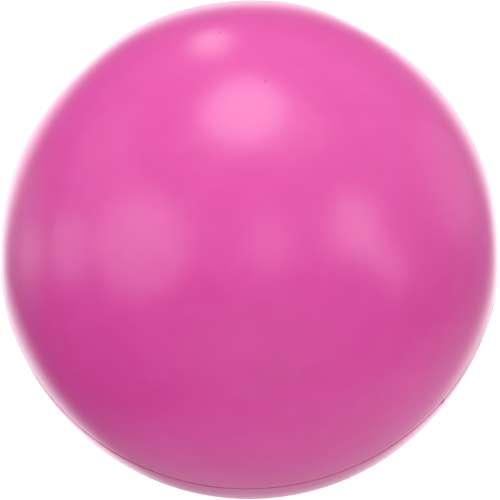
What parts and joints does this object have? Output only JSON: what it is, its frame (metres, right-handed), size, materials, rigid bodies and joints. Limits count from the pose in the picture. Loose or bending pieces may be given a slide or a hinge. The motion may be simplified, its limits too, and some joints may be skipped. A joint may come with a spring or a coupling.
{
  "type": "exercise ball",
  "caption": "Smooth inflatable exercise ball, moulded in one piece with a raised parting line, with a moulded-in valve seat and a pull-out ribbed plug.",
  "frame": {"origin": "centre of the ball", "axes": "+Z is the mould axis, square to the plane of the parting line; +Y is the side that the valve is on; +X makes them right-handed"},
  "size_m": [0.6508, 0.6508, 0.65],
  "materials": {
    "shell_pvc": "satin",
    "seat_pvc": "satin",
    "plug_plastic": "satin"
  },
  "bodies": {
    "ball": {"ball_shell": "shell_pvc", "valve_seat": "seat_pvc"},
    "plug": {"valve_plug": "plug_plastic"}
  },
  "joints": [
    {"name": "plug_pull", "type": "slide", "parent": "ball", "child": "plug", "axis": [0, 0.9781, 0.2079], "range_m": [0, 0.03]}
  ]
}
